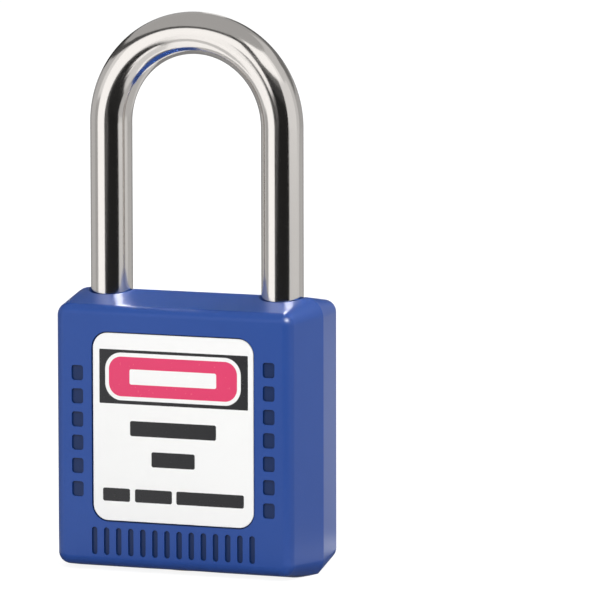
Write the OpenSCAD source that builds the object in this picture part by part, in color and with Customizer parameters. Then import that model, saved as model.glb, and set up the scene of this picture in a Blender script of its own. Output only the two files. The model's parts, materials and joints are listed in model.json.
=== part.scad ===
// Lockout padlock with a moulded body, a steel shackle and a pin tumbler cylinder.
// It stands on its foot, closed but released: the plug is turned so that the balls are drawn in.
// The origin is the middle of the foot. X runs across the front face, Y to the back, Z up.
// All lengths are in millimetres.

/* [Body] */
// Width of the flat front and back faces
face_w = 38.3; // [37.6:0.1:42]
// Height of the flat front and back faces
face_h = 39.7; // [38.6:0.1:44]
// Thickness from the front face to the back face
body_t = 19.6; // [18.8:0.1:23]
// How far each side swells out at the middle of the thickness
side_swell = 1.25; // [0.6:0.05:2.4]
// How far the top rises from the faces to its ridge
top_rise = 1.35; // [0.8:0.05:2.4]
// How far the underside bulges below the faces before the foot is cut flat
foot_bulge = 1.6; // [1.1:0.05:2.2]
// Height of the lower edge of the faces above the ground
foot_lift = 0.76; // [0.4:0.02:0.96]
// Rounding of the edges of the front and back faces
edge_r = 1.6; // [1.2:0.05:1.75]
// Corner radius of the front and back faces
face_r = 1.9; // [1.8:0.05:2.4]
// Corner radius of the outline at the middle of the thickness
rim_r = 3.1; // [2.4:0.1:3.8]
// Rounding of the ridge that runs round the middle of the thickness
ridge_r = 0.9; // [0.5:0.05:1.1]

/* [Front face] */
// Width of the label
label_w = 25.9; // [24:0.1:26.5]
// Height of the label
label_h = 28.4; // [26:0.1:29]
// Corner radius of the label
label_r = 2.4; // [1.5:0.1:3.5]
// Thickness of the label
label_t = 0.25; // [0.15:0.05:0.4]
// Height of the label's centre above the ground
label_z = 22.1; // [21.6:0.1:23]
// Distance of the columns of marks from the middle
mark_x = 15.45; // [15.2:0.05:15.8]
// Width of one sunken mark
mark_w = 1.9; // [1.2:0.05:2.1]
// Height of one sunken mark
mark_h = 2.3; // [1.6:0.1:2.6]
// Step from one mark to the next
mark_pitch = 3.52; // [3.2:0.02:3.8]
// Width of the strip of grip ribs below the label
rib_strip_w = 26.4; // [22:0.1:28]
// Height of the grip ribs
rib_h = 4.2; // [3:0.1:4.6]
// Height of the middle of the grip ribs above the ground
rib_z = 4.7; // [4.2:0.05:4.8]
// Number of grooves in the grip strip
rib_count = 14; // [8:1:16]
// Width of one groove in the grip strip
rib_groove_w = 0.9; // [0.6:0.05:1.1]
// Depth of the grooves and marks
sunk_depth = 0.35; // [0.2:0.05:0.5]

/* [Shackle] */
// Diameter of the shackle
shackle_d = 6.35; // [6:0.05:6.6]
// Distance between the centres of the two legs
leg_span = 27.7; // [27:0.1:28]
// Clear height inside the loop, from the ridge of the body to the arch
loop_clear = 35.9; // [24:0.1:76]
// Depth of the short toe leg in the body
toe_depth = 14.5; // [13.8:0.1:14.9]
// Depth of the long heel leg in the body
heel_depth = 31.8; // [31:0.1:32.4]
// Gap between a leg and its hole
leg_gap = 0.2; // [0.1:0.05:0.3]
// Gap round a leg at the mouth of its hole
mouth_gap = 0.42; // [0.35:0.01:0.6]
// Height of the wider mouth of a leg hole
mouth_h = 2.4; // [1.6:0.1:3]

/* [Locking balls] */
// Diameter of a locking ball
ball_d = 5.5; // [5.2:0.05:5.7]
// Depth of the balls below the ridge of the body
ball_depth = 8.8; // [8.4:0.05:9.1]
// How far a ball enters the notch in its leg when locked
ball_bite = 1.08; // [0.8:0.05:1.3]
// Clearance between a released ball and its leg
ball_free = 0.37; // [0.2:0.05:0.5]
// Height of the two lobes of the cam
lobe_h = 4.4; // [3.6:0.1:4.8]

/* [Cylinder] */
// Diameter of the plug
plug_d = 11; // [10.6:0.1:11.4]
// Outer diameter of the cylinder housing
housing_d = 14.4; // [14:0.1:14.8]
// Wall between two tumbler pin holes
pin_wall = 0.2; // [0.15:0.05:0.5]
// Thickness of the body between the cylinder and the toe hole
toe_floor_t = 1.5; // [1.4:0.05:1.8]
// Length of the driver pins
driver_len = 4.5; // [3.8:0.1:5]
// Thickness of the moulded cover under the cylinder
cover_t = 2.6; // [2.2:0.1:2.9]
// Height of the tail that turns the cam
tang_h = 2.5; // [2:0.1:3]

/* [Hidden] */

// Finish of curved surfaces
$fn = 64;
smooth_fn = 32;
over = 1;

// Fits and small clearances
fit_gap = 0.05;
turn_gap = 0.05;
slip_gap = 0.1;

// Heights of the body
face_z0 = foot_lift;
face_z1 = face_z0 + face_h;
ridge_z = face_z1 + top_rise;
belly_z = face_z0 - foot_bulge;
rim_w = face_w + 2 * side_swell;
face_y = body_t / 2;

// Label recess and marks
label_rest = 0.15;
label_edge_gap = 0.2;
left_marks = 6;
right_marks = 7;
left_marks_drop = 0.85;
right_marks_drop = 0.8;
mark_r = 0.45;

// Shackle
shackle_r = shackle_d / 2;
leg_x = leg_span / 2;
leg_bore_r = shackle_r + leg_gap;
mouth_r = shackle_r + mouth_gap;
arch_z = ridge_z + loop_clear - (leg_x - shackle_r);
toe_z = ridge_z - toe_depth;
heel_z = ridge_z - heel_depth;
leg_chamfer = 0.8;
toe_screw_gap = 0.5;
lift = toe_depth + 0.4;
screw_head_h = 1.2;
toe_floor_z = toe_z - screw_head_h - toe_screw_gap;

// Retaining ring on the heel leg and the well that it travels in
ring_over = 0.82;
ring_r = shackle_r + ring_over;
ring_t = 1;
ring_groove = 0.6;
ring_slot = 1.8;
ring_up = 1.2;
ring_z = heel_z + ring_up;
well_r = ring_r + 0.15;
well_z = ring_z + ring_t + lift + fit_gap;

// Balls and their notches
ball_r = ball_d / 2;
ball_z = ridge_z - ball_depth;
ball_in_x = leg_x - shackle_r - ball_free - ball_r;
ball_out_x = leg_x - shackle_r + ball_bite - ball_r;
ball_travel = ball_out_x - ball_in_x;
channel_r = ball_r + slip_gap;
notch_r = ball_r + 0.2;

// Cylinder: it fills the height between the cover and the floor of the toe hole
pin_count = 6;
first_pin_up = 1.9;
lug_h = 3.2;
housing_top = toe_floor_z - toe_floor_t;
pin_pitch = (housing_top - lug_h - cover_t - first_pin_up + pin_wall / 2) / (pin_count - 0.5);
pin_hole_r = (pin_pitch - pin_wall) / 2;
pin_r = pin_hole_r - turn_gap;
function pin_z(i) = cover_t + first_pin_up + pin_pitch * i;
plug_r = plug_d / 2;
bore_r = plug_r + turn_gap;
housing_r = housing_d / 2;
bible_x = leg_x + 1.5;
bible_y = pin_hole_r + 1.4;
strip_t = 0.7;
strip_y = pin_hole_r + 0.5;
strip_z0 = pin_z(0) - pin_hole_r - 0.3;
strip_z1 = pin_z(pin_count - 1) + pin_hole_r + 0.3;
bitting = [3.1, 2.5, 3.7, 2.8, 4, 3.4];
key_pin_top = sqrt(plug_r * plug_r - pin_r * pin_r) - 0.02;
driver_x = plug_r + 0.12;
spring_x0 = driver_x + driver_len + 0.02;
spring_x1 = bible_x - strip_t - 0.02;

// Plug head, tail and clip
head_r = plug_r + 1;
head_z = 0.35;
clip_t = 0.7;
clip_r = plug_r + 1.1;
clip_slot = 4.8;
neck_r = plug_r - 0.9;
clip_z = housing_top + fit_gap;
neck_top = clip_z + clip_t + fit_gap;
plug_top = neck_top + 0.6;
tang_t = 2.4;
tang_w = 8;
keyway_top = pin_z(pin_count - 1) + 2.2;
// Outline of the keyway, with the wards that the blade's grooves pass
keyway_back = -plug_r + 0.8;
keyway_outline = [
    [keyway_back, -0.9], [-2.6, -0.9], [-2.6, -0.4], [-0.9, -0.4], [-0.9, -1.1], [1, -1.1],
    [1, -0.5], [3, -0.5], [3, 0.75], [0, 0.75], [0, 0.2], [-1.7, 0.2], [-1.7, 0.95],
    [keyway_back, 0.95]
];

// Cam
cam_low_r = ball_in_x - ball_r - 0.1;
cam_high_r = ball_out_x - ball_r - 0.1;
cam_drum_r = cam_high_r - 0.5;
cam_z0 = plug_top + 0.2;
lobe_z0 = ball_z - lobe_h / 2;
lobe_z1 = ball_z + lobe_h / 2;
journal_r = 2.4;
journal_h = 2.1;
room_gap = 0.3;
cam_room_r = cam_high_r + room_gap;
clip_room_r = clip_r + room_gap;
clip_room_top = clip_z + clip_t + room_gap;
// Angles where the dwell and the fall of each half turn of the cam end
dwell_end = 105;
fall_end = 150;

// Bottom cover
cover_rim_x = 0.6;
cover_rim_y = 1.75;
cover_w = face_w - 2 * cover_rim_x;
cover_d = body_t - 2 * cover_rim_y;
cover_r = 2.6;
head_gap = 0.15;
head_bevel = 0.5;
peg_r = 1.1;
peg_h = 5;
peg_x = leg_x - 3.2;
peg_y = face_y - 3.85;

// Screw under the toe leg
screw_r = 1.25;
screw_head_r = 2.3;
screw_bite = 2.5;
screw_slot = 0.6;
screw_end_z = housing_top - screw_bite;

// Springs
heel_wire_r = 0.45;
heel_coil_r = 2.6;
heel_coil_step = 1.64;
pin_wire_r = 0.17;
pin_coil_r = pin_hole_r - 0.4;
pin_coil_step = 0.9;

// A flat rounded rectangle, centred on the origin
module rounded_rect(w, h, r) {
    square([w - 2 * r, h], center = true);
    square([w, h - 2 * r], center = true);
    for (x = [-1, 1], y = [-1, 1])
        translate([x * (w / 2 - r), y * (h / 2 - r)]) circle(r = r);
}

// Lays a flat shape, seen from the front, on the front face and cuts it inwards
module sunk_from_front(depth) {
    translate([0, -face_y + depth, 0]) rotate([90, 0, 0]) linear_extrude(depth + over) children();
}

// A disc with a round edge, seen from the front
module rounded_disc(r, edge) {
    rotate([90, 0, 0]) rotate_extrude($fn = smooth_fn) intersection() {
        translate([r - edge, 0]) circle(r = edge, $fn = smooth_fn);
        translate([0, -edge]) square([r, 2 * edge]);
    }
}

// The swollen block: two flat faces and a ridge round the middle, with a flat foot
module body_block() {
    intersection() {
        hull() {
            for (x = [-1, 1], y = [-1, 1], z = [face_z0 + face_r, face_z1 - face_r])
                translate([x * (face_w / 2 - face_r), y * (face_y - edge_r), z])
                    rounded_disc(face_r, edge_r);
            for (x = [-1, 1], z = [belly_z + rim_r, ridge_z - rim_r])
                translate([x * (rim_w / 2 - rim_r), 0, z]) rounded_disc(rim_r, ridge_r);
        }
        translate([-rim_w, -body_t, 0]) cube([2 * rim_w, 2 * body_t, ridge_z + over]);
    }
}

// Outline of the cover under the body
module cover_outline(gap) {
    rounded_rect(cover_w - 2 * gap, cover_d - 2 * gap, cover_r);
}

module at_pegs() {
    for (x = [-1, 1], y = [-1, 1]) translate([x * peg_x, y * peg_y, 0]) children();
}

// The two columns of sunken marks beside the label
module side_marks() {
    for (side = [-1, 1]) {
        count = side < 0 ? left_marks : right_marks;
        drop = side < 0 ? left_marks_drop : right_marks_drop;
        for (i = [0 : count - 1])
            translate([side * mark_x, label_z - drop + (i - (count - 1) / 2) * mark_pitch])
                rounded_rect(mark_w, mark_h, mark_r);
    }
}

// The strip of upright grooves below the label
module grip_grooves() {
    step = (rib_strip_w - rib_groove_w) / (rib_count - 1);
    for (i = [0 : rib_count - 1])
        translate([-(rib_strip_w - rib_groove_w) / 2 + i * step, rib_z]) {
            square([rib_groove_w, rib_h - rib_groove_w], center = true);
            for (end = [-1, 1])
                translate([0, end * (rib_h - rib_groove_w) / 2]) circle(d = rib_groove_w, $fn = 24);
        }
}

// Recess for a label, on the front and, left empty, on the back
module label_recess() {
    translate([0, label_z])
        rounded_rect(label_w + 2 * label_edge_gap, label_h + 2 * label_edge_gap,
            label_r + label_edge_gap);
}

// Holes for the legs, the well of the heel leg and the cross channel of the balls
module shackle_holes() {
    translate([-leg_x, 0, well_z - over]) cylinder(r = leg_bore_r, h = ridge_z - well_z + 2 * over);
    translate([-leg_x, 0, cover_t - over]) cylinder(r = well_r, h = well_z - cover_t + over);
    translate([leg_x, 0, toe_floor_z]) cylinder(r = leg_bore_r, h = ridge_z - toe_floor_z + over);
    for (side = [-1, 1])
        translate([side * leg_x, 0, ridge_z - mouth_h]) cylinder(r = mouth_r, h = mouth_h + over);
    translate([-leg_x, 0, ball_z]) rotate([0, 90, 0]) cylinder(r = channel_r, h = leg_span);
}

// Room for the cylinder, its clip, the cam and the screw that holds the cylinder
module cylinder_room() {
    translate([0, 0, cover_t - over])
        cylinder(r = housing_r + fit_gap, h = housing_top + fit_gap - cover_t + over);
    translate([0, -bible_y - fit_gap, cover_t - over])
        cube([bible_x + fit_gap, 2 * (bible_y + fit_gap), housing_top + fit_gap - cover_t + over]);
    translate([0, 0, housing_top - over])
        cylinder(r = clip_room_r, h = clip_room_top - housing_top + over);
    translate([0, 0, housing_top]) cylinder(r = cam_room_r, h = lobe_z1 + 0.2 - housing_top);
    translate([0, 0, lobe_z1]) cylinder(r = journal_r + turn_gap, h = journal_h + 0.2);
    translate([leg_x, 0, housing_top]) cylinder(r = screw_r + fit_gap, h = toe_floor_z - housing_top + over);
}

module lock_body() {
    color([0.16, 0.28, 0.60]) difference() {
        body_block();
        sunk_from_front(label_t + label_rest) label_recess();
        mirror([0, 1, 0]) sunk_from_front(label_t + label_rest) label_recess();
        sunk_from_front(sunk_depth) {
            side_marks();
            grip_grooves();
        }
        shackle_holes();
        cylinder_room();
        translate([0, 0, -over]) linear_extrude(cover_t + over) cover_outline(0);
        at_pegs() translate([0, 0, cover_t - over]) cylinder(r = peg_r, h = peg_h + over);
    }
}

module bottom_cover() {
    color([0.14, 0.25, 0.55]) difference() {
        union() {
            intersection() {
                body_block();
                translate([0, 0, -over]) linear_extrude(cover_t + over) cover_outline(fit_gap);
            }
            at_pegs() translate([0, 0, cover_t - over])
                cylinder(r = peg_r - fit_gap, h = peg_h + over - 0.2);
        }
        translate([0, 0, -over]) cylinder(r = head_r + head_gap, h = cover_t + 2 * over);
        translate([0, 0, -over])
            cylinder(r1 = head_r + head_gap + head_bevel + over, r2 = head_r + head_gap, h = head_bevel + over);
    }
}

module label() {
    color([0.95, 0.95, 0.94])
        translate([0, -face_y + label_rest + label_t, label_z]) rotate([90, 0, 0])
            linear_extrude(label_t) rounded_rect(label_w, label_h, label_r);
}

module shackle() {
    color([0.80, 0.81, 0.83]) difference() {
        union() {
            translate([0, 0, arch_z]) rotate([90, 0, 0])
                rotate_extrude(angle = 180) translate([leg_x, 0]) circle(r = shackle_r);
            leg(-leg_x, heel_z);
            leg(leg_x, toe_z);
        }
        for (side = [-1, 1])
            translate([side * ball_out_x, 0, ball_z]) rotate([90, 0, 0])
                cylinder(r = notch_r, h = 2 * shackle_d, center = true);
        translate([-leg_x, 0, ball_z - lift]) rotate_extrude()
            translate([leg_x - ball_out_x, 0]) circle(r = notch_r);
        translate([-leg_x, 0, ring_z - fit_gap]) rotate_extrude()
            translate([shackle_r - ring_groove, 0]) square([ring_groove + over, ring_t + 2 * fit_gap]);
    }
}

// A straight leg with a chamfered end
module leg(x, z) {
    translate([x, 0, z]) {
        cylinder(r1 = shackle_r - leg_chamfer, r2 = shackle_r, h = leg_chamfer);
        translate([0, 0, leg_chamfer]) cylinder(r = shackle_r, h = arch_z - z - leg_chamfer);
    }
}

// Open ring that holds the heel leg in the body
module shackle_clip() {
    color([0.55, 0.56, 0.58]) translate([-leg_x, 0, ring_z]) difference() {
        cylinder(r = ring_r, h = ring_t);
        translate([0, 0, -over]) cylinder(r = shackle_r - ring_groove + fit_gap, h = ring_t + 2 * over);
        translate([-ring_r - over, -ring_slot / 2, -over]) cube([ring_r + over, ring_slot, ring_t + 2 * over]);
    }
}

// Points of one ring of wire, and the side faces of a tube of such rings
function wire_ring(c, out, up, r, sides) =
    [for (k = [0 : sides - 1]) c + r * cos(360 * k / sides) * out + r * sin(360 * k / sides) * up];
function tube_sides(rings, sides) =
    [for (i = [0 : rings - 2], k = [0 : sides - 1])
        [i * sides + k, i * sides + (k + 1) % sides, (i + 1) * sides + (k + 1) % sides, (i + 1) * sides + k]];

// A coil spring that stands on the XY plane, with ends level to its first and last turn
module coil(coil_r, wire_r, height, turns, steps, sides) {
    rings = round(turns * steps) + 1;
    rise = height - 2 * wire_r;
    centre_z = [for (i = [0 : rings - 1]) wire_r + rise * i / (rings - 1)];
    points = [for (i = [0 : rings - 1])
        let (a = 360 * turns * i / (rings - 1), out = [cos(a), sin(a), 0])
        each wire_ring([coil_r * out[0], coil_r * out[1], centre_z[i]], out, [0, 0, 1], wire_r, sides)];
    first = [for (k = [sides - 1 : -1 : 0]) k];
    last = [for (k = [0 : sides - 1]) (rings - 1) * sides + k];
    polyhedron(points = points, faces = concat([first], tube_sides(rings, sides), [last]));
}

module shackle_spring() {
    height = heel_z - cover_t - 0.03;
    color([0.62, 0.63, 0.65]) translate([-leg_x, 0, cover_t + 0.01])
        coil(heel_coil_r, heel_wire_r, height, height / heel_coil_step, 14, 8);
}

module cylinder_housing() {
    color([0.78, 0.62, 0.30]) difference() {
        union() {
            translate([0, 0, cover_t]) cylinder(r = housing_r, h = housing_top - cover_t);
            translate([0, -bible_y, cover_t]) cube([bible_x, 2 * bible_y, housing_top - cover_t]);
        }
        translate([0, 0, cover_t - over]) cylinder(r = bore_r, h = housing_top - cover_t + 2 * over);
        for (i = [0 : pin_count - 1])
            translate([0, 0, pin_z(i)]) rotate([0, 90, 0]) cylinder(r = pin_hole_r, h = bible_x + over);
        translate([bible_x - strip_t, -strip_y, strip_z0])
            cube([strip_t + over, 2 * strip_y, strip_z1 - strip_z0]);
        translate([leg_x, 0, screw_end_z - 0.2]) cylinder(r = screw_r + fit_gap, h = lug_h);
    }
}

// Thin strip that closes the outer ends of the pin holes
module chamber_cover() {
    color([0.70, 0.54, 0.26])
        translate([bible_x - strip_t, -strip_y + fit_gap, strip_z0 + fit_gap])
            cube([strip_t, 2 * (strip_y - fit_gap), strip_z1 - strip_z0 - 2 * fit_gap]);
}

// Screw at the bottom of the toe hole, reached only with the shackle open
module cylinder_screw() {
    color([0.60, 0.61, 0.63]) translate([leg_x, 0, 0]) difference() {
        union() {
            translate([0, 0, toe_floor_z]) cylinder(r = screw_head_r, h = screw_head_h);
            translate([0, 0, screw_end_z]) cylinder(r = screw_r, h = toe_floor_z - screw_end_z + 0.1);
        }
        translate([-screw_head_r, -screw_slot / 2, toe_floor_z + screw_head_h - screw_slot])
            cube([2 * screw_head_r, screw_slot, screw_slot + over]);
    }
}

module plug() {
    color([0.80, 0.64, 0.33]) difference() {
        union() {
            translate([0, 0, head_z]) cylinder(r = head_r, h = cover_t - fit_gap - head_z);
            translate([0, 0, cover_t - 0.1]) cylinder(r = plug_r, h = clip_z - fit_gap - cover_t + 0.1);
            translate([0, 0, clip_z - 0.1]) cylinder(r = neck_r, h = neck_top - clip_z + 0.2);
            translate([0, 0, neck_top]) cylinder(r = plug_r - 0.1, h = plug_top - neck_top);
            translate([-tang_w / 2, -tang_t / 2, plug_top - 0.1]) cube([tang_w, tang_t, tang_h + 0.1]);
        }
        translate([0, 0, head_z - over]) linear_extrude(keyway_top - head_z + over) polygon(keyway_outline);
        for (i = [0 : pin_count - 1])
            translate([0, 0, pin_z(i)]) rotate([0, 90, 0]) cylinder(r = pin_hole_r, h = plug_r + over);
    }
}

// Open clip in the plug's neck, above the housing
module plug_clip() {
    color([0.50, 0.51, 0.53]) translate([0, 0, clip_z]) difference() {
        cylinder(r = clip_r, h = clip_t);
        translate([0, 0, -over]) cylinder(r = neck_r + fit_gap, h = clip_t + 2 * over);
        translate([-clip_r - over, -clip_slot / 2, -over]) cube([clip_r + over, clip_slot, clip_t + 2 * over]);
    }
}

// Radius of the cam at an angle: each half turn has one rise, a dwell and a fall
function cam_radius(a) =
    let (h = a % 180)
    h < 90 ? cam_low_r + ball_travel * h / 90 :
    h < dwell_end ? cam_high_r :
    h < fall_end ? cam_low_r + ball_travel * (1 + cos(180 * (h - dwell_end) / (fall_end - dwell_end))) / 2 :
    cam_low_r;

module cam() {
    color([0.66, 0.67, 0.69]) difference() {
        union() {
            translate([0, 0, cam_z0]) cylinder(r = cam_drum_r, h = lobe_z0 - cam_z0 + 0.1);
            translate([0, 0, lobe_z0]) linear_extrude(lobe_h)
                polygon([for (a = [0 : 5 : 355]) cam_radius(a) * [cos(a), sin(a)]]);
            translate([0, 0, lobe_z1 - 0.1]) cylinder(r = journal_r, h = journal_h + 0.1);
        }
        translate([-tang_w / 2 - slip_gap, -tang_t / 2 - slip_gap, cam_z0 - over])
            cube([tang_w + 2 * slip_gap, tang_t + 2 * slip_gap, plug_top + tang_h + slip_gap - cam_z0 + over]);
    }
}

module locking_ball(side) {
    color([0.75, 0.76, 0.78]) translate([side * ball_in_x, 0, ball_z]) sphere(r = ball_r);
}

module heel_ball() {
    locking_ball(-1);
}

module toe_ball() {
    locking_ball(1);
}

// A pin that lies along X, with a blunt cone at its inner end
module key_pin(i) {
    tip = 0.8;
    color([0.82, 0.68, 0.38]) translate([key_pin_top - bitting[i - 1], 0, pin_z(i - 1)]) rotate([0, 90, 0]) {
        cylinder(r1 = pin_r - tip * 0.8, r2 = pin_r, h = tip);
        translate([0, 0, tip]) cylinder(r = pin_r, h = bitting[i - 1] - tip);
    }
}

module driver_pin(i) {
    color([0.72, 0.73, 0.75]) translate([driver_x, 0, pin_z(i - 1)]) rotate([0, 90, 0])
        cylinder(r = pin_r, h = driver_len);
}

module pin_spring(i) {
    length = spring_x1 - spring_x0;
    color([0.60, 0.61, 0.63]) translate([spring_x0, 0, pin_z(i - 1)]) rotate([0, 90, 0])
        coil(pin_coil_r, pin_wire_r, length, length / pin_coil_step, 10, 6);
}

lock_body();
bottom_cover();
label();
shackle();
shackle_clip();
shackle_spring();
cylinder_housing();
chamber_cover();
cylinder_screw();
plug();
plug_clip();
cam();
heel_ball();
toe_ball();
for (i = [1 : pin_count]) {
    key_pin(i);
    driver_pin(i);
    pin_spring(i);
}
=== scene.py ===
# Looks of the lockout padlock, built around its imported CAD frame. All lengths are in metres.
import json
import math

import bmesh
import bpy
from mathutils import Matrix, Vector


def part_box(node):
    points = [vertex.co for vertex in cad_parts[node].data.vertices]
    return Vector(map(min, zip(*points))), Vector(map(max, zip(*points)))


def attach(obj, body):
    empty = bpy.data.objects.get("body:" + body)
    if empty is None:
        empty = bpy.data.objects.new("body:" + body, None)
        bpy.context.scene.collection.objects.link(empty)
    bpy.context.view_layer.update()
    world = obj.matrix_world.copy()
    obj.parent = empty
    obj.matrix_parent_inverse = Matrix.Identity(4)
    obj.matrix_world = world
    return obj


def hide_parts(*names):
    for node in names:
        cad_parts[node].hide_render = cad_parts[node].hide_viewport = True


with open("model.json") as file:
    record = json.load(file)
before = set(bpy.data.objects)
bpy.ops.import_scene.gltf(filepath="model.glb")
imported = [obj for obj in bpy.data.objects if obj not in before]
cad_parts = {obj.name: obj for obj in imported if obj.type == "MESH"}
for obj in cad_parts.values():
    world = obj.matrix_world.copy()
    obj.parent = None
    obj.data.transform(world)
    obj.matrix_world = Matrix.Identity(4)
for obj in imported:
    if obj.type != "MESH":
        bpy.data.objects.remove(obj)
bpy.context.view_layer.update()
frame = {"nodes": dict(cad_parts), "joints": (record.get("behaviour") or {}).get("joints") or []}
MM = 0.001

# The lock body is one block of blue nylon from an injection mould, satin from the fine
# grain of the mould. Its label recess, sunken marks and grip grooves are moulded in, so
# their edges are a little rounded. Their floors and walls are painted a darker blue, as
# painted shade for the shade that falls in them.
FACE_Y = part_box("lock_body")[0].y
MARK_DEPTH = 0.35 * MM
MARK_REACH_X = 17.4 * MM
MARK_TOP_Z = 38.5 * MM
MARK_FOOT_Z = 2.45 * MM
MARK_EDGE = 0.2 * MM
BODY_BLUE = (0.020, 0.070, 0.298, 1.0)
BODY_BLUE_DEEP = (0.014, 0.055, 0.255, 1.0)
# The dark blue painted into the recesses as their shade.
RECESS_SHADE_BLUE = (0.002, 0.018, 0.085, 1.0)
NYLON_IOR = 1.42
NYLON_ROUGHNESS = 0.28
FLOW_SIZE = 14 * MM
GRAIN_SIZE = 0.22 * MM
GRAIN_DEPTH = 0.003 * MM
WELD_WITHIN = 0.002 * MM
FLAT_WITHIN = math.radians(0.4)


class Wire:
    """A node's output. Arithmetic on it adds Math nodes to the tree that it belongs to."""

    def __init__(self, wiring, socket):
        self.wiring = wiring
        self.socket = socket

    def maths(self, operation, *others):
        return self.wiring.node("Math", (self, *others), operation=operation)

    def __add__(self, other):
        return self.maths("ADD", other)

    def __mul__(self, other):
        return self.maths("MULTIPLY", other)

    def __sub__(self, other):
        return self.maths("SUBTRACT", other)

    def __rsub__(self, other):
        return self.wiring.node("Math", (other, self), operation="SUBTRACT")

    def __abs__(self):
        return self.maths("ABSOLUTE")

    __radd__ = __add__
    __rmul__ = __mul__

    def above(self, level, blur):
        """1 where the value is over the level and 0 where it is under, with a soft edge."""
        ends = (self, level - blur / 2, level + blur / 2)
        return self.wiring.node("MapRange", ends, clamp=True)


class Wiring:
    """The node tree of a material, a lamp or the world, with one method that adds every node."""

    def __init__(self, owner):
        owner.use_nodes = True
        self.tree = owner.node_tree

    def node(self, kind, values=(), output=0, **settings):
        """Adds a node: its settings first, then the values or wires of its sockets."""
        made = self.tree.nodes.new("ShaderNode" + kind)
        for setting, value in settings.items():
            setattr(made, setting, value)
        pairs = values.items() if isinstance(values, dict) else enumerate(values)
        for key, value in pairs:
            self.feed(made.inputs[key], value)
        return Wire(self, made.outputs[output])

    def feed(self, socket, value):
        if isinstance(value, Wire):
            self.tree.links.new(value.socket, socket)
        else:
            socket.default_value = value


class Finish(Wiring):
    """The material of a piece: its surface shader, and the patterns that vary it."""

    def __init__(self, name, **constants):
        self.material = bpy.data.materials.new(name)
        super().__init__(self.material)
        self.shader = self.tree.nodes["Principled BSDF"]
        self.place = self.node("TexCoord", output="Object")
        for socket, value in constants.items():
            self.set(socket.replace("_", " "), value)

    def set(self, socket, value):
        self.feed(self.shader.inputs[socket], value)

    def axis(self, letter):
        return self.node("SeparateXYZ", [self.place], output=letter)

    def mix(self, share, first, second):
        return self.node("Mix", {0: share, 6: first, 7: second}, output=2, data_type="RGBA")

    def noise(self, size, stretch=(1, 1, 1), detail=2.0):
        """Cloudy noise whose clumps are about the given size, drawn out along the stretch."""
        thin = [1 / share for share in stretch]
        scaled = self.node("Mapping", {"Vector": self.place, "Scale": thin})
        return self.node("TexNoise", {"Vector": scaled, "Scale": 1 / size, "Detail": detail})

    def emboss(self, height, depth):
        """Raises the surface by the height, a wire from 0 to 1, times the depth in metres."""
        bump = self.node("Bump", {"Height": height, "Distance": depth, "Strength": 1.0})
        self.set("Normal", bump)


def moulded_plastic(name, blue, deep_blue):
    """Satin nylon with the fine grain of a blasted mould and slight flow marks."""
    finish = Finish(name, IOR=NYLON_IOR)
    flow = finish.noise(FLOW_SIZE, stretch=(1, 1, 2.5), detail=3.0)
    grain = finish.noise(GRAIN_SIZE, detail=3.0)
    finish.colour = finish.mix(flow, blue, deep_blue)
    finish.set("Base Color", finish.colour)
    finish.set("Roughness", NYLON_ROUGHNESS + flow * 0.04 + grain * 0.02)
    finish.emboss(grain, GRAIN_DEPTH)
    return finish


def dress(node, finish, edge, slope=32):
    """Gives a CAD node its finish, slightly rounded edges and smooth shading of its curves."""
    piece = frame["nodes"][node]
    for kept in ("custom_normal", "sharp_edge", "sharp_face"):
        if kept in piece.data.attributes:
            piece.data.attributes.remove(piece.data.attributes[kept])
    piece.data.shade_smooth()
    weld = piece.modifiers.new("weld", "WELD")
    weld.merge_threshold = WELD_WITHIN
    flats = piece.modifiers.new("flats", "DECIMATE")
    flats.decimate_type = "DISSOLVE"
    flats.angle_limit = FLAT_WITHIN
    round_over(piece, edge, slope)
    piece.data.materials.clear()
    piece.data.materials.append(finish.material)


def round_over(piece, edge, slope=32):
    """Rounds the edges sharper than the slope by a small width, and evens the shading."""
    bevel = piece.modifiers.new("edges", "BEVEL")
    bevel.width = edge
    bevel.segments = 2
    bevel.angle_limit = math.radians(slope)
    bevel.miter_outer = "MITER_ARC"
    even = piece.modifiers.new("shading", "WEIGHTED_NORMAL")
    even.weight = 100
    even.keep_sharp = True


blue_nylon = moulded_plastic("blue_nylon", BODY_BLUE, BODY_BLUE_DEEP)
depth_in = blue_nylon.axis("Y") - (FACE_Y + MARK_DEPTH * 0.5)
past_floor = depth_in.above(MARK_DEPTH, MARK_DEPTH * 0.4)
in_mark = depth_in.above(0.0, MARK_DEPTH * 0.5) * (1 - past_floor)
near_middle = 1 - abs(blue_nylon.axis("X")).above(MARK_REACH_X, MARK_EDGE)
low_enough = 1 - blue_nylon.axis("Z").above(MARK_TOP_Z, MARK_EDGE)
high_enough = blue_nylon.axis("Z").above(MARK_FOOT_Z, MARK_EDGE / 2)
# Painted shade: the floors and walls of the recesses in the front are coloured dark blue.
recess_shade = in_mark * near_middle * low_enough * high_enough
blue_nylon.set("Base Color", blue_nylon.mix(recess_shade, blue_nylon.colour, RECESS_SHADE_BLUE))
dress("lock_body", blue_nylon, edge=0.12 * MM)

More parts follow.
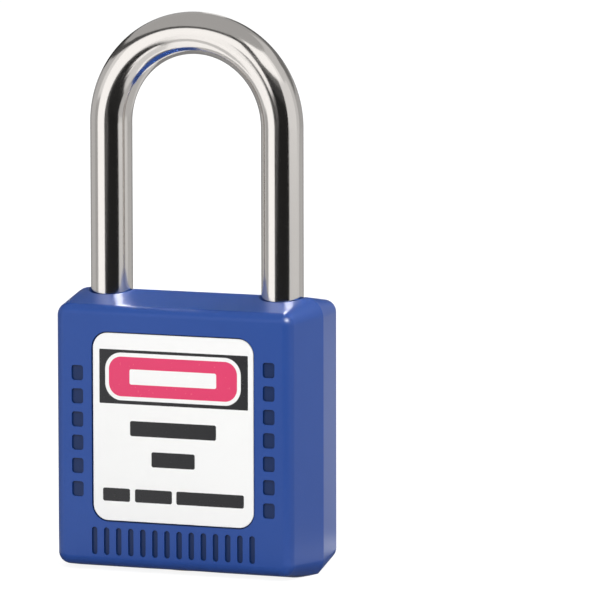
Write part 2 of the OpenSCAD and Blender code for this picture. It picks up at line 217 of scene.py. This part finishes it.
# The label is a printed white film, 0.25 mm thick, bonded into the shallow recess on the
# front. The print is plain: a dark header with an outlined red field and rows of bars.
# Each field of it is given by its middle, width, height and corner radius in millimetres.
LABEL_LOW, LABEL_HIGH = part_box("label")
LABEL_Z = (LABEL_LOW.z + LABEL_HIGH.z) / 2
PRINT_DEPTH = 0.06 * MM
FILM_IOR = 1.50
FILM_ROUGHNESS = 0.32
FILM_WHITE = (0.86, 0.86, 0.85, 1.0)
FIBRE_GREY = (0.78, 0.78, 0.78, 1.0)
INK_BLACK = (0.012, 0.012, 0.014, 1.0)
INK_RED = (0.70, 0.040, 0.135, 1.0)
INK_EDGE = 0.05 * MM
HEADER = (0.1, 7.65, 24.0, 8.2, 0.15)
HEADER_OUTLINE = (0.0, 7.7, 21.9, 7.2, 2.6)
HEADER_FIELD = (0.0, 7.7, 20.7, 6.0, 2.0)
HEADER_BAR = (0.0, 7.7, 14.0, 2.3, 0.3)
ROW_BARS = (
    (0.0, -0.1, 13.9, 2.3, 0.3),
    (0.0, -4.65, 7.0, 2.3, 0.3),
    (-9.2, -10.25, 4.4, 2.0, 0.3),
    (-3.2, -10.25, 6.0, 2.0, 0.3),
    (5.95, -10.25, 10.9, 2.0, 0.3),
)


def printed_field(across, up, field):
    """1 inside a field of the print, and 0 outside."""
    middle_x, middle_z, width, height, corner = (size * MM for size in field)
    over_x = abs(across - middle_x) - (width / 2 - corner)
    over_z = abs(up - (LABEL_Z + middle_z)) - (height / 2 - corner)
    past_x = over_x.maths("MAXIMUM", 0.0)
    past_z = over_z.maths("MAXIMUM", 0.0)
    reach = (past_x * past_x + past_z * past_z).maths("SQRT")
    return 1 - reach.above(corner, INK_EDGE)


film = Finish("printed_film", IOR=FILM_IOR)
across = film.axis("X")
up = film.axis("Z")
front = 1 - film.axis("Y").above(LABEL_LOW.y + PRINT_DEPTH, 0.04 * MM)
fibre = film.noise(0.5 * MM, detail=2.0)
print_colour = film.mix(fibre * 0.04, FILM_WHITE, FIBRE_GREY)
inked = 0.0
for field, ink in (
    (HEADER, INK_BLACK),
    (HEADER_OUTLINE, FILM_WHITE),
    (HEADER_FIELD, INK_RED),
    (HEADER_BAR, FILM_WHITE),
    *((bar, INK_BLACK) for bar in ROW_BARS),
):
    inside = printed_field(across, up, field) * front
    print_colour = film.mix(inside, print_colour, ink)
    if ink is not FILM_WHITE:
        inked = inside + inked
film.set("Base Color", print_colour)
film.set("Roughness", FILM_ROUGHNESS + fibre * 0.02 - inked.maths("MINIMUM", 1.0) * 0.06)
film.emboss(film.noise(6 * MM), 0.014 * MM)
dress("label", film, edge=0.06 * MM)

# The shackle is one bright plated steel rod, bent to a half circle over two straight legs.
# The long heel leg has a ring groove and a neck low down, and each leg has a ball notch.
SHACKLE_LOW, SHACKLE_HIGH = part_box("shackle")
ROD_R = (SHACKLE_HIGH.y - SHACKLE_LOW.y) / 2
LEG_X = SHACKLE_HIGH.x - ROD_R
ARCH_Z = SHACKLE_HIGH.z - LEG_X - ROD_R
HEEL_Z = SHACKLE_LOW.z
TOE_Z = min(v.co.z for v in frame["nodes"]["shackle"].data.vertices if v.co.x > 0)
LEG_CHAMFER = 0.8 * MM
BALL_LOW, BALL_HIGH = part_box("toe_ball")
BALL_R = (BALL_HIGH.z - BALL_LOW.z) / 2
BALL_Z = (BALL_HIGH.z + BALL_LOW.z) / 2
BALL_OUT = next(j["range_m"][1] for j in frame["joints"] if j["name"] == "toe_ball_slide")
LIFT = next(j["range_m"][1] for j in frame["joints"] if j["name"] == "shackle_lift")
NOTCH_R = BALL_R + 0.2 * MM
NOTCH_X = (BALL_LOW.x + BALL_HIGH.x) / 2 + BALL_OUT
ABOVE_NOTCH_Z = BALL_Z + NOTCH_R + MM
CLIP_LOW, CLIP_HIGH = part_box("shackle_clip")
CLIP_GROOVE = 0.6 * MM
CLIP_GAP = 0.05 * MM
ROD_SIDES = 96
ARCH_STEPS = 160
HALF_NECK_STEPS = 8
PLATED_STEEL = (0.82, 0.784, 0.75, 1.0)
PLATED_STEEL_DULL = (0.71, 0.68, 0.65, 1.0)
PLATING_ROUGHNESS = 0.10


def edges_of(made):
    """The edges among the parts that an operator made."""
    return [part for part in made if isinstance(part, bmesh.types.BMEdge)]


def draw_ring(shape, edges, height, radius, old_radius):
    """Draws the open ring of a rod up or down to a height, and gives it a new radius."""
    made = bmesh.ops.extrude_edge_only(shape, edges=edges)["geom"]
    ring = [part for part in made if isinstance(part, bmesh.types.BMVert)]
    middle = sum((v.co for v in ring), Vector()) / len(ring)
    share = radius / old_radius
    bmesh.ops.scale(shape, verts=ring, vec=(share, share, 1), space=Matrix.Translation(-middle))
    bmesh.ops.translate(shape, verts=ring, vec=(0, 0, height - middle.z))
    return edges_of(made)


rod = bmesh.new()
foot = bmesh.ops.create_circle(
    rod, cap_ends=True, segments=ROD_SIDES, radius=ROD_R - LEG_CHAMFER,
    matrix=Matrix.Translation((-LEG_X, 0, HEEL_Z)),
)
edges = list({edge for v in foot["verts"] for edge in v.link_edges})
neck_z = BALL_Z - LIFT
neck_middle = LEG_X - NOTCH_X
neck_half = math.sqrt(NOTCH_R**2 - (neck_middle - ROD_R) ** 2)
neck_turn = math.asin(neck_half / NOTCH_R) / HALF_NECK_STEPS
neck_turns = [neck_turn * step for step in range(-HALF_NECK_STEPS, HALF_NECK_STEPS + 1)]
rings = [
    (HEEL_Z + LEG_CHAMFER, ROD_R),
    (CLIP_LOW.z - CLIP_GAP, ROD_R),
    (CLIP_LOW.z - CLIP_GAP, ROD_R - CLIP_GROOVE),
    (CLIP_HIGH.z + CLIP_GAP, ROD_R - CLIP_GROOVE),
    (CLIP_HIGH.z + CLIP_GAP, ROD_R),
    *((neck_z + NOTCH_R * math.sin(t), neck_middle - NOTCH_R * math.cos(t)) for t in neck_turns),
    (ABOVE_NOTCH_Z, ROD_R),
    (ARCH_Z, ROD_R),
]
radius = ROD_R - LEG_CHAMFER
for height, new_radius in rings:
    edges = draw_ring(rod, edges, height, new_radius, radius)
    radius = new_radius
bent = bmesh.ops.spin(
    rod, geom=edges, cent=(0, 0, ARCH_Z), axis=(0, 1, 0), angle=math.pi, steps=ARCH_STEPS,
)["geom_last"]
edges = draw_ring(rod, edges_of(bent), ABOVE_NOTCH_Z, ROD_R, ROD_R)
edges = draw_ring(rod, edges, TOE_Z + LEG_CHAMFER, ROD_R, ROD_R)
edges = draw_ring(rod, edges, TOE_Z, ROD_R - LEG_CHAMFER, ROD_R)
bmesh.ops.holes_fill(rod, edges=edges)
bmesh.ops.recalc_face_normals(rod, faces=rod.faces)


def placed(name, shape):
    """Puts a finished mesh into the scene as an object."""
    mesh = bpy.data.meshes.new(name)
    shape.to_mesh(mesh)
    shape.free()
    made = bpy.data.objects.new(name, mesh)
    bpy.context.collection.objects.link(made)
    return made


def finished_piece(name, shape, finish, node_slot, body, *stands_for):
    """Makes a piece of a finished mesh, and says what it is made of and what carries it."""
    piece = placed(name, shape)
    piece.data.shade_smooth()
    piece.data.materials.append(finish.material)
    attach(piece, body)
    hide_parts(*stands_for)
    return piece


def notch_leg(piece, x):
    """Mills the round notch for a ball across a leg."""
    cutter_shape = bmesh.new()
    across_leg = Matrix.Translation((x, 0, BALL_Z)) @ Matrix.Rotation(math.pi / 2, 4, "X")
    bmesh.ops.create_cone(
        cutter_shape, cap_ends=True, segments=ROD_SIDES, radius1=NOTCH_R, radius2=NOTCH_R,
        depth=4 * ROD_R, matrix=across_leg,
    )
    cutter = placed("notch_cutter", cutter_shape)
    milling = piece.modifiers.new("milling", "BOOLEAN")
    milling.object = cutter
    milling.solver = "EXACT"
    bpy.context.view_layer.update()
    milled = piece.evaluated_get(bpy.context.evaluated_depsgraph_get())
    piece.data = bpy.data.meshes.new_from_object(milled)
    piece.modifiers.clear()
    bpy.data.objects.remove(cutter)


chrome = Finish("bright_plating", Metallic=1.0)
drawn_lines = chrome.noise(0.25 * MM, stretch=(1, 1, 40), detail=2.0)
haze = chrome.noise(5 * MM, detail=3.0)
chrome.set("Base Color", chrome.mix(haze * 0.25, PLATED_STEEL, PLATED_STEEL_DULL))
chrome.set("Roughness", PLATING_ROUGHNESS + haze * 0.03 + drawn_lines * 0.03)
shackle = finished_piece("shackle_rod", rod, chrome, "shackle_steel", "shackle", "shackle")
notch_leg(shackle, -NOTCH_X)
notch_leg(shackle, NOTCH_X)
round_over(shackle, edge=0.12 * MM)

# The heel leg is held by an open spring ring in its groove, and stands on a coil spring of
# steel wire, with closed ends, at the bottom of its hole.
WIRE_GREY = (0.42, 0.43, 0.45, 1.0)
WIRE_PALE = (0.56, 0.57, 0.58, 1.0)
SPRING_LOW, SPRING_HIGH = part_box("shackle_spring")
HEEL_WIRE_R = 0.45 * MM
HEEL_TURNS = 4.5
STEPS_PER_TURN = 28
CLOSED_PITCH = 2.1


def wound_spring(low, high, wire_r, turns, axis, sides):
    """A coil spring that fills a box, along axis 0 or 2, with its end turns closed."""
    shape = bmesh.new()
    length = high[axis] - low[axis]
    coil_r = (high.y - low.y) / 2 - wire_r
    along = Vector((0, 0, 0))
    along[axis] = 1.0
    base = (low + high) / 2 - along * (length / 2 - wire_r)
    start = base + Vector((0, coil_r, 0))
    upright = Matrix.Rotation(math.pi / 2, 4, "Y") if axis == 2 else Matrix.Identity(4)
    ring = bmesh.ops.create_circle(
        shape, cap_ends=True, segments=sides, radius=wire_r,
        matrix=Matrix.Translation(start) @ upright,
    )["verts"]
    edges = list({edge for v in ring for edge in v.link_edges})
    closed_step = CLOSED_PITCH * wire_r
    open_turns = turns - 2
    open_step = (length - 2 * wire_r - 2 * closed_step) / open_turns
    for part_turns, step in ((1, closed_step), (open_turns, open_step), (1, closed_step)):
        steps = round(part_turns * STEPS_PER_TURN)
        wound = bmesh.ops.spin(
            shape, geom=edges, cent=base, axis=along, dvec=along * (step * part_turns / steps),
            angle=2 * math.pi * part_turns, steps=steps,
        )["geom_last"]
        edges = edges_of(wound)
    bmesh.ops.holes_fill(shape, edges=edges)
    bmesh.ops.recalc_face_normals(shape, faces=shape.faces)
    return shape


spring_wire = Finish("spring_wire", Metallic=1.0)
wire_marks = spring_wire.noise(0.15 * MM, detail=3.0)
spring_wire.set("Base Color", spring_wire.mix(wire_marks, WIRE_GREY, WIRE_PALE))
spring_wire.set("Roughness", 0.24 + wire_marks * 0.16)
spring_wire.emboss(wire_marks, 0.004 * MM)
heel_coil = wound_spring(SPRING_LOW, SPRING_HIGH, HEEL_WIRE_R, HEEL_TURNS, axis=2, sides=14)
finished_piece("heel_coil", heel_coil, spring_wire, "spring_steel", "case", "shackle_spring")
dress("shackle_clip", spring_wire, edge=0.08 * MM)

# Two hardened steel balls lie in the cross channel. A cast cam between them has two lobes
# and a journal on top, and a slot underneath that takes the tail of the plug.
BALL_STEEL = (0.62, 0.63, 0.65, 1.0)
BALL_STEEL_PALE = (0.70, 0.71, 0.73, 1.0)
CAST_GREY = (0.40, 0.41, 0.43, 1.0)
CAST_PALE = (0.52, 0.53, 0.55, 1.0)

ground_steel = Finish("ground_steel", Metallic=1.0)
polish = ground_steel.noise(0.8 * MM, detail=4.0)
ground_steel.set("Base Color", ground_steel.mix(polish, BALL_STEEL, BALL_STEEL_PALE))
ground_steel.set("Roughness", 0.12 + polish * 0.10)

cast_metal = Finish("cast_metal", Metallic=1.0)
casting = cast_metal.noise(0.35 * MM, detail=5.0)
cast_metal.set("Base Color", cast_metal.mix(casting, CAST_GREY, CAST_PALE))
cast_metal.set("Roughness", 0.34 + casting * 0.18)
cast_metal.emboss(casting, 0.012 * MM)

dress("heel_ball", ground_steel, edge=0.01 * MM, slope=60)
dress("toe_ball", ground_steel, edge=0.01 * MM, slope=60)
dress("cam", cast_metal, edge=0.15 * MM)

# The cylinder is milled and turned from brass: a housing with a bore and six pin holes,
# a thin strip that closes the holes, and the steel screw that holds it from the toe hole.
BRASS = (0.60, 0.40, 0.14, 1.0)
BRASS_PALE = (0.70, 0.52, 0.24, 1.0)


def machined_brass(name, tool_marks):
    """Brass with a little tarnish and the fine lines of the tool, drawn out as given."""
    finish = Finish(name, Metallic=1.0)
    tarnish = finish.noise(3.5 * MM, detail=4.0)
    lines = finish.noise(0.12 * MM, stretch=tool_marks, detail=2.0)
    finish.set("Base Color", finish.mix(tarnish, BRASS, BRASS_PALE))
    finish.set("Roughness", 0.20 + tarnish * 0.12 + lines * 0.10)
    finish.emboss(lines, 0.004 * MM)
    return finish


milled_brass = machined_brass("milled_brass", (1, 1, 20))
turned_brass = machined_brass("turned_brass", (12, 12, 1))
dress("cylinder_housing", milled_brass, edge=0.12 * MM)
dress("chamber_cover", milled_brass, edge=0.08 * MM)
dress("cylinder_screw", ground_steel, edge=0.08 * MM)

# The plug turns in the housing. Its head shows under the padlock with the keyway in it,
# and an open clip in its neck holds it from above.
dress("plug", turned_brass, edge=0.10 * MM)
dress("plug_clip", spring_wire, edge=0.06 * MM)

# Six pin stacks lie in the housing: a brass key pin, a steel driver pin and a small coil
# spring of fine wire in each hole.
PIN_WIRE_R = 0.17 * MM
PIN_TURNS = 5
for pin in range(1, 7):
    dress(f"key_pin_{pin}", turned_brass, edge=0.12 * MM)
    dress(f"driver_pin_{pin}", ground_steel, edge=0.15 * MM)
    solid = f"pin_spring_{pin}"
    pin_coil = wound_spring(*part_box(solid), PIN_WIRE_R, PIN_TURNS, axis=0, sides=8)
    finished_piece(f"pin_coil_{pin}", pin_coil, spring_wire, "spring_steel", "case", solid)

# The bottom cover is a second moulding of the same nylon. It is pressed in from below
# with four pegs and leaves the head of the plug free in its middle.
COVER_BLUE = (0.011, 0.055, 0.265, 1.0)
COVER_BLUE_DEEP = (0.007, 0.042, 0.220, 1.0)
cover_nylon = moulded_plastic("cover_nylon", COVER_BLUE, COVER_BLUE_DEEP)
dress("bottom_cover", cover_nylon, edge=0.12 * MM)

# The studio: a pale paper floor in a white room, whose light on the object is plain. Both
# show white to the camera, in mirrors and through glass.
WHITE = (1.0, 1.0, 1.0, 1.0)
AMBIENT = 0.43
FLOOR_HALF = 30.0
PAPER_GREY = (0.60, 0.60, 0.60, 1.0)
PAPER_GLOW = 1.36
GLOW_SHARE = 0.66


def seen_plainly(wiring):
    """1 for rays from the camera and for mirrored or refracted ones, else 0."""
    direct, mirrored, refracted = (
        wiring.node("LightPath", output=f"Is {ray} Ray") for ray in ("Camera", "Glossy", "Transmission")
    )
    return direct.maths("MAXIMUM", mirrored).maths("MAXIMUM", refracted)


def show_surface(wiring, shader):
    """Makes a shader the surface of a material."""
    wiring.feed(wiring.tree.nodes["Material Output"].inputs["Surface"], shader)


world = bpy.data.worlds.new("studio_world")
bpy.context.scene.world = world
room = Wiring(world)
walls = room.tree.nodes["Background"]
room.feed(walls.inputs["Color"], WHITE)
room.feed(walls.inputs["Strength"], AMBIENT + (1 - AMBIENT) * seen_plainly(room))

floor_shape = bmesh.new()
bmesh.ops.create_grid(floor_shape, x_segments=1, y_segments=1, size=FLOOR_HALF)
floor = placed("floor", floor_shape)
paper = Finish("studio_paper", Base_Color=PAPER_GREY, Roughness=1.0, Specular_IOR_Level=0.0)
matt = Wire(paper, paper.shader.outputs[0])
glow = paper.node("Emission", {"Strength": PAPER_GLOW})
show_surface(paper, paper.node("MixShader", [seen_plainly(paper) * GLOW_SHARE, matt, glow]))
floor.data.materials.append(paper.material)

# Dark and bright panels stand round the padlock, and mats lie on the floor. Only
# reflections see them, so that the plating has something to mirror. Angles are in degrees
# from the camera's side; heights are the angles at which the shackle mirrors them.
VIEW_AZIMUTH = 21.474
SCREEN_R = 300 * MM
SCREEN_GAP = 3 * MM
SHEET_STEP = 4
EYE_Z = 62 * MM
FLOOR_GAP = 0.1 * MM
AXIS_GAP = 0.001 * MM
CEILING_AT = 56
CEILING_GREY = 0.42

# name, start, sweep, foot, top, climb of the sweep, brightness
SCREENS = (
    ("back_dark", 158, 14, -12, 34, 0, 0.08),
    ("back_white", 172, 8, -12, 34, 0, 0.80),
    ("back_dark_far", 180, 22, -12, 34, 0, 0.06),
    ("dim_right", 136, 22, -12, 34, 0, 0.42),
    ("dim_far_left", -158, 22, -12, 34, 0, 0.36),
    ("grey_back", 136, 88, 34, 56, 0, 0.40),
    ("grey_left", -136, 36, -12, 40, 0, 0.52),
    ("dim_left", -100, 20, -12, 4, 0, 0.40),
    ("dim_left_top", -100, 20, 4, 40, 0, 0.80),
    ("white_left", -80, 40, -12, 50, 0, 1.15),
    ("white_front", -40, 26, -2, 50, 0, 1.15),
    ("dark_card_low", -40, 76, -12, -2, 0, 0.015),
    ("dark_card", -14, 50, -2, 12, 0, 0.015),
    ("dark_card_top", -14, 50, 12, 22, 0, 0.045),
    ("dark_fade", -14, 50, 22, 30, 0, 0.15),
    ("lamp_edge", 1, 49, 30, 56, 0, 1.15),
    ("lamp_fade", 50, 14, 30, 56, 0, 0.95),
    ("dark_toe", 36, 4, -12, -5, 0, 0.05),
    ("grey_right_low", 40, 60, -12, -6.5, 0, 0.68),
    ("pale_right_low", 40, 60, -6.5, -5, 0, 0.74),
    ("dim_right_low", 100, 36, -12, -5, 0, 0.50),
    ("pale_right", 36, 49, -5, 30, 0, 0.80),
    ("grey_right", 85, 20, -5, 30, 0, 0.62),
    ("dim_far_right", 105, 31, -5, 30, 0, 0.42),
    ("grey_above_right", 64, 72, 30, 56, 0, 0.60),
)
ABOVE = (
    ("above_tail", -180, 40, 2.5, 50, 18.5, 0.42),
    ("above_left", -140, 40, 21, 56, 8.5, 0.42),
    ("above_middle", -100, 55, 29.5, 56, 4.5, 0.42),
    ("above_rise", -45, 25, 34, 60, 10, 0.42),
    ("above_fall", -20, 21, 44, 60, 0, 0.42),
    ("grey_wedge", -36, 22, -12, -2, 9, 0.10),
)
LINES = (
    ("line_tail", -180, 40, -5, 11, 18.5, 0.04),
    ("line_left", -140, 40, 16.5, 25.5, 8.5, 0.07),
    ("line_middle", -100, 55, 25, 35, 4.5, 0.06),
    ("line_rise", -45, 25, 29.5, 39.5, 9.5, 0.06),
    ("line_end", -20, 8, 39, 49, 0, 0.06),
    ("thin_post", -36, 9, -4, 3, 0, 0.04),
    ("thin_post_top", -34, 6, 3, 11, 0, 0.22),
    ("dark_post", -14, 15, 30, 47, 0, 0.07),
    ("dark_right", 114, 46, 14, 35, 0, 0.18),
    ("lamp_window", 8, 40, 31.5, 50, 0, 1.15),
)
# name, start, sweep, near and far radius in millimetres, brightness
MATS = (
    # The first mat, a dark ring under and round the foot, is a painted shadow: it stands for the
    # floor's shade near the padlock, where the lower edges mirror it.
    ("foot_shade_mat", 0, 360, 0.001, 28, 0.15),
    ("near_mat", -41, 77, 40, 92, 0.75),
    ("dark_mat_left", -40, 20, 128, 300, 0.02),
    ("dark_mat_middle", -20, 15, 104, 300, 0.02),
    ("dark_mat_right", -5, 41, 92, 300, 0.02),
    ("dark_strip", -41, 4, 92, 128, 0.25),
    ("mat_edge", -76, 35, 100, 160, 0.65),
    ("right_mat", 36, 100, 40, 300, 0.52),
    ("dim_right_mat", 136, 22, 40, 300, 0.64),
    ("back_mat", 158, 44, 40, 300, 0.26),
    ("left_mat", -120, 34, 40, 300, 0.52),
    ("left_mat_far", -158, 38, 40, 300, 0.32),
)


def spun_sheet(name, near_end, far_end, start, sweep, brightness, climb=0.0):
    """Spins a line between two (radius, height) ends to a glowing sheet for reflections alone."""
    shape = bmesh.new()
    turn = Matrix.Rotation(math.radians(start), 3, "Z")
    ends = [shape.verts.new(turn @ Vector((0, -r, height))) for r, height in (near_end, far_end)]
    line = shape.edges.new(ends)
    steps = max(8, round(sweep / SHEET_STEP))
    bmesh.ops.spin(
        shape, geom=[*ends, line], cent=(0, 0, 0), axis=(0, 0, 1), dvec=(0, 0, climb / steps),
        angle=math.radians(sweep), steps=steps, use_merge=sweep == 360,
    )
    sheet = placed(name, shape)
    material = bpy.data.materials.new(name)
    glowing = Wiring(material)
    colour = (brightness, brightness, brightness, 1)
    show_surface(glowing, glowing.node("Emission", {"Color": colour, "Strength": 1.0}))
    sheet.data.materials.append(material)
    sheet.visible_camera = False
    sheet.visible_diffuse = False
    sheet.visible_shadow = False
    sheet.visible_transmission = False


def screen_height(elevation):
    """The height on a screen that the shackle mirrors at an angle above the level."""
    return max(FLOOR_GAP, EYE_Z + SCREEN_R * math.tan(math.radians(elevation)))


for layer, group in enumerate((SCREENS, ABOVE, LINES)):
    out = SCREEN_R - layer * SCREEN_GAP
    for name, start, sweep, lowest, highest, climb, brightness in group:
        foot = screen_height(lowest)
        ends = (out, foot), (out, screen_height(highest))
        rise = screen_height(lowest + climb) - foot
        spun_sheet(name, *ends, VIEW_AZIMUTH + start, sweep, brightness, rise)
for name, start, sweep, near, far, brightness in MATS:
    ends = (near * MM, FLOOR_GAP), (far * MM, FLOOR_GAP)
    spun_sheet(name, *ends, VIEW_AZIMUTH + start, sweep, brightness)
CEILING_Z = screen_height(CEILING_AT)
spun_sheet("ceiling_grey", (AXIS_GAP, CEILING_Z), (SCREEN_R, CEILING_Z), 0, 360, CEILING_GREY)

# Two soft boxes light the object and show in no reflection. A window lamp and a dim lamp
# behind show only as gloss on the nylon, and three of the sheets only on the plating, so
# that each gets its own highlights.
STUDIO_MIDDLE = Vector((0, 0, 45 * MM))
SOFT_BOX = 0.5
SOFT_BOX_R = 0.9
LAMP_R = 290 * MM
ONE_BOUNCE = 1.5
GLINT_GAIN = 60.0


def outward(azimuth, elevation):
    """The direction of a place from the padlock's middle, by two angles in degrees."""
    a, e = math.radians(azimuth), math.radians(elevation)
    return Vector((math.sin(a) * math.cos(e), -math.cos(a) * math.cos(e), math.sin(e)))


def area_lamp(name, width, height, power, place):
    """A rectangular lamp in the given place, which lights what is along its -Z axis."""
    light = bpy.data.lights.new(name, "AREA")
    light.shape = "RECTANGLE"
    light.size = width
    light.size_y = height
    light.energy = power
    lamp = bpy.data.objects.new(name, light)
    lamp.matrix_world = place
    bpy.context.collection.objects.link(lamp)
    return lamp


def soft_lamp(name, azimuth, elevation, power):
    """A soft box that lights the object and isn't mirrored in it."""
    back = outward(VIEW_AZIMUTH + azimuth, elevation)
    turned = back.to_track_quat("Z", "Y").to_matrix().to_4x4()
    place = Matrix.Translation(STUDIO_MIDDLE + back * SOFT_BOX_R) @ turned
    lamp = area_lamp(name, SOFT_BOX, SOFT_BOX, power, place)
    lamp.visible_glossy = False


def choose_plating(lamp, link_state):
    """Lets a lamp light the plating alone, by INCLUDE, or all but the plating, by EXCLUDE."""
    plated = bpy.data.collections.new(lamp.name)
    plated.objects.link(shackle)
    plated.collection_objects[0].light_linking.link_state = link_state
    lamp.light_linking.receiver_collection = plated


def nylon_lamp(name, azimuth, lowest, highest, width, power):
    """An upright lamp that shows only as gloss, and not on the plating."""
    foot, top = screen_height(lowest), screen_height(highest)
    turn = Matrix.Rotation(math.radians(VIEW_AZIMUTH + azimuth), 4, "Z")
    stand = Matrix.Translation((0, -LAMP_R, (foot + top) / 2))
    upright = Matrix.Rotation(math.pi / 2, 4, "X")
    lamp = area_lamp(name, width, top - foot, power, turn @ stand @ upright)
    lamp.data.cycles.use_multiple_importance_sampling = False
    lamp.visible_camera = False
    lamp.visible_diffuse = False
    choose_plating(lamp, "EXCLUDE")
    return lamp


def bounced(wiring, comparison):
    """1 where a ray has bounced once, by LESS_THAN, or more often, by GREATER_THAN, else 0."""
    return wiring.node("LightPath", output="Ray Depth").maths(comparison, ONE_BOUNCE)


def set_emission(wiring, strength):
    """Sets how bright a lamp or a glowing sheet is."""
    wiring.feed(wiring.tree.nodes["Emission"].inputs["Strength"], strength)


soft_lamp("key_lamp", 0, 35, 6.5)
soft_lamp("fill_lamp", 130, 30, 7.5)
nylon_lamp("back_glow", 184, -11, 34, 270 * MM, 0.042)
glint = Wiring(nylon_lamp("window_lamp", 28, 31.5, 50, 198 * MM, 5.5).data)
set_emission(glint, bounced(glint, "LESS_THAN"))
window = Wiring(bpy.data.objects["lamp_window"].active_material)
set_emission(window, 1.0 + GLINT_GAIN * bounced(window, "GREATER_THAN"))
for name in ("lamp_window", "back_white", "above_tail"):
    choose_plating(bpy.data.objects[name], "INCLUDE")

# The camera stands where the photograph was taken from, far off with a long lens. Its
# place was fitted to the padlock's edges, and it aims a little beside the padlock.
VIEW_ELEVATION = 7.2348
VIEW_ROLL = 0.096
LENS = 425.69
SENSOR = 36
CLIP_START = 0.05
CLIP_END = 200
DISTANCE = 1066.88 * MM
AIM_RIGHT = 15.491 * MM
AIM_UP = 40.540 * MM
back = outward(VIEW_AZIMUTH, VIEW_ELEVATION)
azimuth = math.radians(VIEW_AZIMUTH)
right = Vector((math.cos(azimuth), math.sin(azimuth), 0))
upward = back.cross(right)
roll = math.radians(VIEW_ROLL)
level_right = right * math.cos(roll) - upward * math.sin(roll)
level_up = right * math.sin(roll) + upward * math.cos(roll)
lens = bpy.data.cameras.new("camera")
lens.lens = LENS
lens.sensor_width = SENSOR
lens.clip_start = CLIP_START
lens.clip_end = CLIP_END
camera = bpy.data.objects.new("camera", lens)
turn = Matrix((level_right, level_up, back)).transposed().to_4x4()
stand = right * AIM_RIGHT + Vector((0, 0, AIM_UP)) + back * DISTANCE
camera.matrix_world = Matrix.Translation(stand) @ turn
bpy.context.collection.objects.link(camera)
bpy.context.scene.camera = camera
bpy.context.scene.view_settings.view_transform = "Standard"
